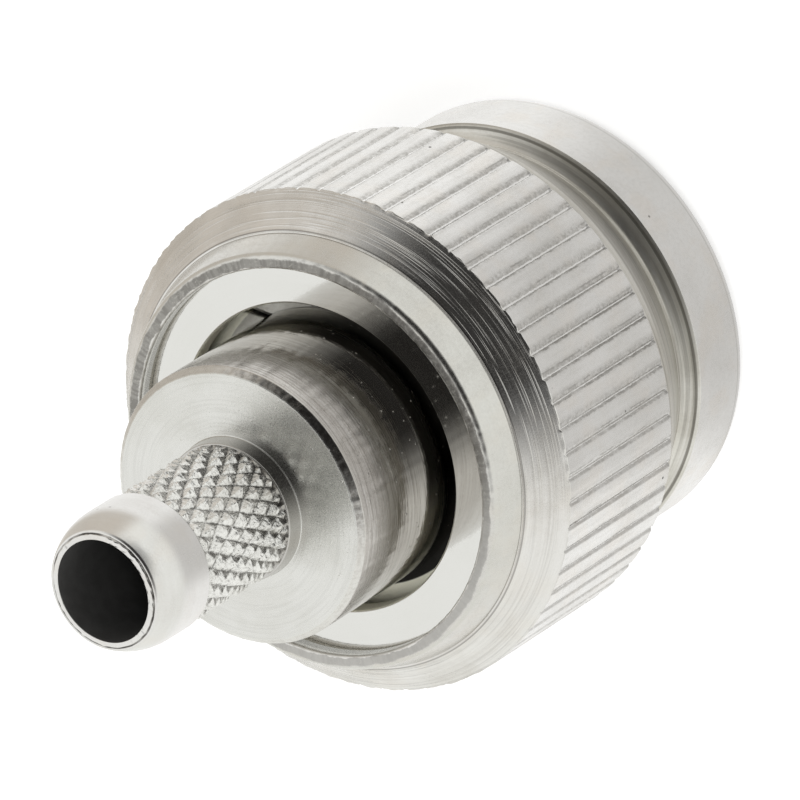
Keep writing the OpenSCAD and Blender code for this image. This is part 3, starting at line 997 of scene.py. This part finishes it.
def threaded(r, z, angle):
    """Cuts a right-hand thread into the bore, with a lead-in at the front and a run-out at the back."""
    phase = np.mod(z / THREAD_PITCH - angle / TURN, 1.0)
    vee = np.clip(THREAD_SHARP * (1 - np.abs(2 * phase - 1)) - THREAD_FLAT, 0, 1)
    fade = np.clip((THREAD_LEN + THREAD_RUN_OUT - z) / THREAD_RUN_OUT, 0, 1)
    mouth = THREAD_R + np.clip(LEAD_IN - z, 0, LEAD_IN)
    return np.maximum(r + THREAD_DEPTH * vee * fade, mouth), z


make(
    "nut_bore",
    turned(upright(THREAD_R, thread_heights), even(THREAD_COLUMNS), shape=threaded),
    thread_metal,
    "nut",
    "coupling_nut",
)

# Thrust washer
washer_rows = rounded(
    [
        (WASHER_IN_R, washer_low.z, 0.07),
        (WASHER_R, washer_low.z, 0.05),
        (WASHER_R, washer_high.z, 0.05),
        (WASHER_IN_R + WASHER_EDGE, washer_high.z, 0.02),
        (WASHER_IN_R, washer_high.z - WASHER_EDGE, 0.02),
    ],
    closed=True,
)
make(
    "washer",
    turned(washer_rows, even(WASHER_COLUMNS), closed=True),
    washer_metal,
    "washer",
    "thrust_washer",
)

# Split retaining ring
ring_rows = rounded(
    [
        (RING_IN_R, ring_low.z, 0.05),
        (RING_R, ring_low.z, 0.05),
        (RING_R, ring_high.z, 0.05),
        (RING_IN_R, ring_high.z, 0.05),
    ],
    closed=True,
)


def split_side(r, sign):
    """Angle of one side of the slanted split at radius r."""
    across = (r - (RING_IN_R + RING_R) / 2) * math.tan(RING_SPLIT_SLANT)
    across = across + sign * RING_SPLIT_W / 2 / math.cos(RING_SPLIT_SLANT)
    return RING_SPLIT_DIR + across / r


make(
    "snap_ring",
    sector(
        ring_rows,
        RING_COLUMNS,
        lambda r: split_side(r, 1),
        lambda r: split_side(r, -1) + TURN,
    ),
    ring_metal,
    "connector",
    "retaining_ring",
)

# Body with its crimp post; the nose ends in a rim with a fine groove
RIM_EASE_W = 0.03
RIM_EASE_LEN = 0.05
CHAMFER_WEAR = 0.007
CHAMFER_MIDDLE = Z_BODY1 - 0.1
CHAMFER_REACH = 0.12
RIM_WEAR = 0.014
RIM_DROP = 0.02
nose_inward = POST_R - NOSE_R - RIM_EASE_W
nose_along = NOSE_LEN - RIM_EASE_LEN
nose = [
    (POST_R - nose_inward * u**NOSE_CURVE, Z_NOSE0 + nose_along * u, 0)
    for u in np.linspace(0, 1, NOSE_ROWS)
]
body_corners = [
    (OUTER_R, Z_FLANGE0, 0.03),
    (FLANGE_R, Z_FLANGE0, 0.08),
    (FLANGE_R, Z_FLANGE1, 0.08),
    (BODY_R, Z_FLANGE1, 0.05),
    (BODY_R, ring_low.z - SEAT_GAP, 0.03),
    (RING_FLOOR_R, ring_low.z - SEAT_GAP, 0.03),
    (RING_FLOOR_R, ring_high.z + SEAT_GAP, 0.03),
    (BODY_R, ring_high.z + SEAT_GAP, 0.03),
    (BODY_R, Z_BODY1 - BODY_CHAMFER_LEN, 0.05),
    (FACE_R, Z_BODY1, 0.03),
    (BOSS_R, Z_BODY1, 0.03),
    (POST_R, Z_DIAMOND0, 0.04),
    (CORE_R, Z_DIAMOND0, 0),
    (CORE_R, Z_COLLAR0, 0),
    (POST_R, Z_COLLAR0, 0.04),
    *nose,
    (NOSE_R - 0.02, Z_POST1 - 0.06, 0.01),
    (NOSE_R - 0.045, Z_POST1 - 0.08, 0.01),
    (NOSE_R - 0.065, Z_POST1, 0.025),
    (CABLE_R, Z_POST1, 0.03),
    (CABLE_R, Z_CORE1, 0),
    (INS_REAR_R + SEAT_GAP, Z_CORE1, 0),
    (INS_REAR_R + SEAT_GAP, Z_STEM1, 0),
    (OUTER_R, Z_STEM1, 0),
]


def worn(r, z, angle):
    """Uneven edges of the chamfer and a burred rim."""
    near = np.exp(-(((z - CHAMFER_MIDDLE) / CHAMFER_REACH) ** 2))
    near = near * (r > FACE_R - 0.06) * (z < Z_BODY1 - 0.001)
    shaped = r + near * CHAMFER_WEAR * wave(angle, 11, 20, 110)
    rim = np.clip((z - Z_POST1 + 0.05) / 0.04, 0, 1) * (r > CABLE_R + 0.02)
    shaped = shaped + rim * RIM_WEAR * wave(angle, 12, 3, 40)
    return shaped, z - rim * RIM_DROP * (1 + 0.5 * wave(angle, 13, 4, 60))


body_rows = rounded(body_corners, closed=True)
body_rows = np.vstack([body_rows, body_rows[:1]])
body_rows = denser(body_rows, 0.05, Z_BODY1 - 0.22, Z_BODY1 + 0.01)[:-1]
row_next = np.roll(body_rows, -1, 0)
body_r, body_z = ((body_rows + row_next) / 2).T
in_bore = np.maximum(body_rows[:, 0], row_next[:, 0]) < CABLE_R + 0.002
in_bore |= (body_z > Z_STEM1 - 0.01) & (body_z < Z_CORE1 + 0.01) & (body_r < INS_REAR_R + 0.1)
on_post = (body_z > Z_BODY1 + 0.01) & ~in_bore
on_face = (body_z > Z_BODY1 - 0.02) & (body_r < FACE_R + 0.02) & ~on_post & ~in_bore
on_chamfer = (body_z > Z_BODY1 - BODY_CHAMFER_LEN) & (body_r > FACE_R) & ~on_face
body_zones = [
    (bore_painted_shade, in_bore),
    (post_metal, on_post),
    (face_metal, on_face),
    (chamfer_metal, on_chamfer),
]
make(
    "body_turned",
    turned(body_rows, even(BODY_COLUMNS), closed=True, shape=worn),
    body_metal,
    "connector",
    "connector_body",
    [(material, np.repeat(rows, BODY_COLUMNS)) for material, rows in body_zones],
)

# Diamond knurl of the post
DIAMOND_SWAY = 0.03
DIAMOND_SHARP = 1.25
DIAMOND_TORN = 0.008
KNURL_LAP = 0.02
diamond_heights = np.linspace(
    Z_DIAMOND0 - KNURL_LAP, Z_COLLAR0 + KNURL_LAP, DIAMOND_ROWS * ROWS_PER_DIAMOND
)


def diamonds(r, z, angle):
    """Raises small torn pyramids of uneven height between two sets of crossing grooves."""
    s = angle * DIAMONDS / TURN + DIAMOND_SWAY * lumps(r.shape, 7.0, 21)
    t = (z - DIAMOND_FROM) / DIAMOND_STEP / 2 + DIAMOND_SWAY * lumps(r.shape, 7.0, 22)
    a = 1 - np.abs(2 * np.mod(s + t, 1.0) - 1)
    b = 1 - np.abs(2 * np.mod(s - t, 1.0) - 1)
    rise = np.clip(np.minimum(a, b) * DIAMOND_SHARP, 0, 1)
    number = np.floor(s + t) * 37 + np.floor(s - t) * 101
    uneven = np.mod(np.sin(number * 12.9898) * 43758.5453, 1.0)
    tall = (CREST_R - ROOT_R) * (0.8 + 0.2 * uneven)
    torn = DIAMOND_TORN * lumps(r.shape, 0.7, 23) + DIAMOND_TORN * lumps(r.shape, 2.5, 24)
    return ROOT_R + np.clip(tall * rise + torn * (0.3 + rise), 0, CREST_R - ROOT_R + 0.02), z


post_knurl = make(
    "post_knurl",
    turned(
        upright(ROOT_R, diamond_heights), even(DIAMONDS * COLUMNS_PER_DIAMOND), shape=diamonds
    ),
    knurl_metal,
    "connector",
    "connector_body",
)
post_knurl.data.set_sharp_from_angle(angle=math.radians(24))

# Slotted outer contact: fingers below, closed sleeve above
tip = outer_low.z
slot_top = tip + SLOT_LEN
finger_rows = rounded(
    [
        (OUTER_IN_R + TIP_EASE, tip, 0.04),
        (OUTER_R - TIP_EASE, tip, 0.08),
        (OUTER_R, tip + TIP_LEN, 0.1),
        (OUTER_R, tip + BULGE_LEN, 0.1),
        (OUTER_WAIST_R, tip + WAIST_FROM, 0.1),
        (OUTER_WAIST_R, slot_top, 0),
        (OUTER_IN_R, slot_top, 0),
        (OUTER_IN_R, tip + TIP_IN_LEN, 0.06),
    ],
    closed=True,
)
stem_rows = rounded(
    [
        (OUTER_IN_R, slot_top, 0),
        (OUTER_WAIST_R, slot_top, 0),
        (OUTER_WAIST_R, tip + WAIST_TO, 0.05),
        (OUTER_R, tip + STEM_FROM, 0.05),
        (OUTER_R, outer_high.z, 0.05),
        (OUTER_IN_R, outer_high.z, 0.05),
    ],
    closed=True,
)


def finger_edge(number, sign):
    """Angle of one edge of a finger at radius r, beside a slot with straight walls."""
    middle = (number + 0.5) * TURN / SLOTS
    return lambda r: middle + sign * np.arcsin(SLOT_W / 2 / r)


contact_parts = [
    sector(finger_rows, FINGER_COLUMNS, finger_edge(n, 1), finger_edge(n + 1, -1))
    for n in range(SLOTS)
]
contact_parts.append(turned(stem_rows, even(INSIDE_COLUMNS), closed=True))
contact_faces, first_point = [], 0
for points, faces in contact_parts:
    contact_faces += [[first_point + v for v in face] for face in faces]
    first_point += len(points)
sleeve = make(
    "contact_sleeve",
    (np.concatenate([points for points, faces in contact_parts]), contact_faces),
    contact_metal,
    "connector",
    "outer_contact",
)
sleeve.data.set_sharp_from_angle(angle=math.radians(40))

# Insulator
bead_rows = rounded(
    [
        (INS_OPENING_R, ins_low.z, 0.1),
        (INS_R, ins_low.z, 0.1),
        (INS_R, Z_STEM1 - SEAT_GAP, 0.04),
        (INS_REAR_R, Z_STEM1 - SEAT_GAP, 0.04),
        (INS_REAR_R, ins_high.z, 0.05),
        (CUP_R + SEAT_GAP, ins_high.z, 0.05),
        (CUP_R + SEAT_GAP, Z_CUP0 - SEAT_GAP, 0),
        (PIN_R + SEAT_GAP, Z_CUP0 - SEAT_GAP, 0),
        (PIN_R + SEAT_GAP, Z_INS_FLOOR, 0.03),
        (INS_OPENING_R, Z_INS_FLOOR, 0.08),
    ],
    closed=True,
)
make(
    "bead",
    turned(bead_rows, even(INSIDE_COLUMNS), closed=True),
    white_plastic,
    "connector",
    "insulator",
)

# Centre contact
pin_rows = rounded(
    [
        (PIN_AXIS_R, pin_low.z, 0),
        (PIN_TIP_R, pin_low.z, 0.08),
        (PIN_R, pin_low.z + PIN_TAPER, 0.3),
        (PIN_R, Z_CUP0, 0.02),
        (CUP_R, Z_CUP0, 0.06),
        (CUP_R, pin_high.z, 0.06),
        (CONDUCTOR_R, pin_high.z, 0.06),
        (CONDUCTOR_R, Z_CONDUCTOR0, 0),
        (PIN_AXIS_R, Z_CONDUCTOR0, 0),
    ]
)
make(
    "pin",
    turned(pin_rows, even(PIN_COLUMNS)),
    gold_metal,
    "connector",
    "centre_contact",
)

# Gasket
seal_rows = rounded(
    [
        (OUTER_R + SEAT_GAP, gasket_low.z, 0.12),
        (gasket_high.x, gasket_low.z, 0.12),
        (gasket_high.x, gasket_high.z, 0.12),
        (OUTER_R + SEAT_GAP, gasket_high.z, 0.12),
    ],
    closed=True,
)
make(
    "seal",
    turned(seal_rows, even(INSIDE_COLUMNS), closed=True),
    red_rubber,
    "connector",
    "gasket",
)

# Stage, in metres: directions and tones of what the metal reflects
CAMERA_SIDE = (-0.965, -0.262, 0)
BEIGE_SIDE = (0.71, -0.704, 0)
OPENING = (-0.4955, -0.4501, 0.743)
OPENING_EDGE = math.cos(math.radians(60))
OPENING_DARK = math.cos(math.radians(20))
WHITE = rgba(1, 1, 1)
PLAIN = rgba(0.95, 0.955, 0.925)
BEIGE = rgba(0.66, 0.62, 0.565)
TABLE_HALF = 3
TABLE_NEAR = 0.022
TABLE_AWAY = 0.036
TABLE_GLOW = 0.5
TABLE_GREY = rgba(0.76, 0.76, 0.76)

# White table; in the metal it shows a painted shadow, greyer on the camera's side, and is beige far off
# on one side
scene = bpy.context.scene
table_corners = [(-1, -1), (1, -1), (1, 1), (-1, 1)]
table_mesh = bpy.data.meshes.new("table")
table_mesh.from_pydata(
    [(x * TABLE_HALF, y * TABLE_HALF, 0) for x, y in table_corners], [], [(0, 1, 2, 3)]
)
table = bpy.data.objects.new("table", table_mesh)
scene.collection.objects.link(table)


def horizon(g, outward):
    """Tone low down all round: beige on one side, nearly white on the others."""
    return g.mix(g.ramp(g.dot(outward, BEIGE_SIDE), 0.45, 0.8), PLAIN, BEIGE)


table_white, g = new_material("table_white")
path = g.node("ShaderNodeLightPath").outputs
mirrored = g.math("MAXIMUM", path["Is Glossy Ray"], path["Is Transmission Ray"])
flat = g.vector("MULTIPLY", g.node("ShaderNodeTexCoord").outputs["Object"], (1, 1, 0))
outward = g.vector("NORMALIZE", flat)
# Painted shadow seen only in reflections: greyer near the plug on the camera's side
painted_shadow_share = g.ramp(g.dot(outward, CAMERA_SIDE), 0.35, 0.9)
near = g.mix(painted_shadow_share, rgba(1.0, 0.995, 0.98), rgba(0.67, 0.66, 0.645))
away = g.ramp(g.length(flat), TABLE_NEAR, TABLE_AWAY)
tone = g.mix(away, near, horizon(g, outward))
shown = g.node("ShaderNodeEmission", tone, 1.0).outputs[0]
glow = g.node("ShaderNodeEmission", WHITE, g.times(path["Is Camera Ray"], TABLE_GLOW)).outputs[0]
matt = g.node("ShaderNodeBsdfDiffuse", TABLE_GREY).outputs[0]
plain = g.node("ShaderNodeAddShader", glow, matt).outputs[0]
surface = g.node("ShaderNodeMixShader", mirrored, plain, shown).outputs[0]
g.node("ShaderNodeOutputMaterial", surface)
table_mesh.materials.append(table_white)

# Light tent: white above, with a dark opening for the camera
world = bpy.data.worlds.new("tent")
scene.world = world
world.use_nodes = True
g = Graph(world.node_tree)
direction = g.node("ShaderNodeTexCoord").outputs["Generated"]
outward = g.vector("NORMALIZE", g.vector("MULTIPLY", direction, (1, 1, 0)))
rise = g.node("ShaderNodeSeparateXYZ", direction).outputs[2]
tent = g.mix(g.ramp(rise, 0.25, 0.65), horizon(g, outward), rgba(0.96, 0.96, 0.945))
opening = g.ramp(g.dot(direction, OPENING), OPENING_EDGE, OPENING_DARK)
tent = g.mix(opening, tent, rgba(0.036, 0.035, 0.034))
shade = g.mix(g.node("ShaderNodeLightPath").outputs["Is Camera Ray"], tent, WHITE)
g.node("ShaderNodeOutputWorld", g.node("ShaderNodeBackground", shade, 1.0).outputs[0])

# Key lamp, which the metal doesn't mirror
KEY_PLACE = Vector((-0.26, -0.08, 0.52))
KEY_AIM = Vector((0, 0, 0.01))
KEY_SIZE = 0.4
KEY_POWER = 1.6
key_data = bpy.data.lights.new("key", "AREA")
key_data.shape = "SQUARE"
key_data.size = KEY_SIZE
key_data.energy = KEY_POWER
key = bpy.data.objects.new("key", key_data)
key.location = KEY_PLACE
key.rotation_mode = "QUATERNION"
key.rotation_quaternion = (KEY_AIM - KEY_PLACE).to_track_quat("-Z", "Y")
key.visible_glossy = False
scene.collection.objects.link(key)

# Camera, turned so that the plug's axis runs from lower left to upper right; the end of the grip
# lies at GRIP_END_PLACE, in millimetres to the right, down and ahead of it
CAMERA_RIGHT = Vector((-0.8071, 0.2033, -0.5544))
CAMERA_UP = Vector((0.0, -0.9388, -0.3444))
CAMERA_BACK = Vector((-0.5905, -0.2779, 0.7577))
GRIP_END_PLACE = (-1.513, 1.142, 342.371)
FOCAL_PIXELS = 12245.0
FRAME_PIXELS = 800.0
SENSOR_W = 36.0
camera_data = bpy.data.cameras.new("camera")
camera_data.sensor_width = SENSOR_W
camera_data.lens = FOCAL_PIXELS / FRAME_PIXELS * SENSOR_W
camera_data.clip_start = 0.01
camera_data.clip_end = 20.0
camera = bpy.data.objects.new("camera", camera_data)
right, down, ahead = GRIP_END_PLACE
eye = (
    Vector((0, 0, Z_GRIP1))
    - CAMERA_RIGHT * right
    + CAMERA_UP * down
    + CAMERA_BACK * ahead
) * MM
turned_to = Matrix((CAMERA_RIGHT, CAMERA_UP, CAMERA_BACK)).transposed().to_4x4()
camera.matrix_world = Matrix.Translation(eye) @ turned_to
scene.collection.objects.link(camera)
scene.camera = camera

scene.view_settings.view_transform = "Standard"
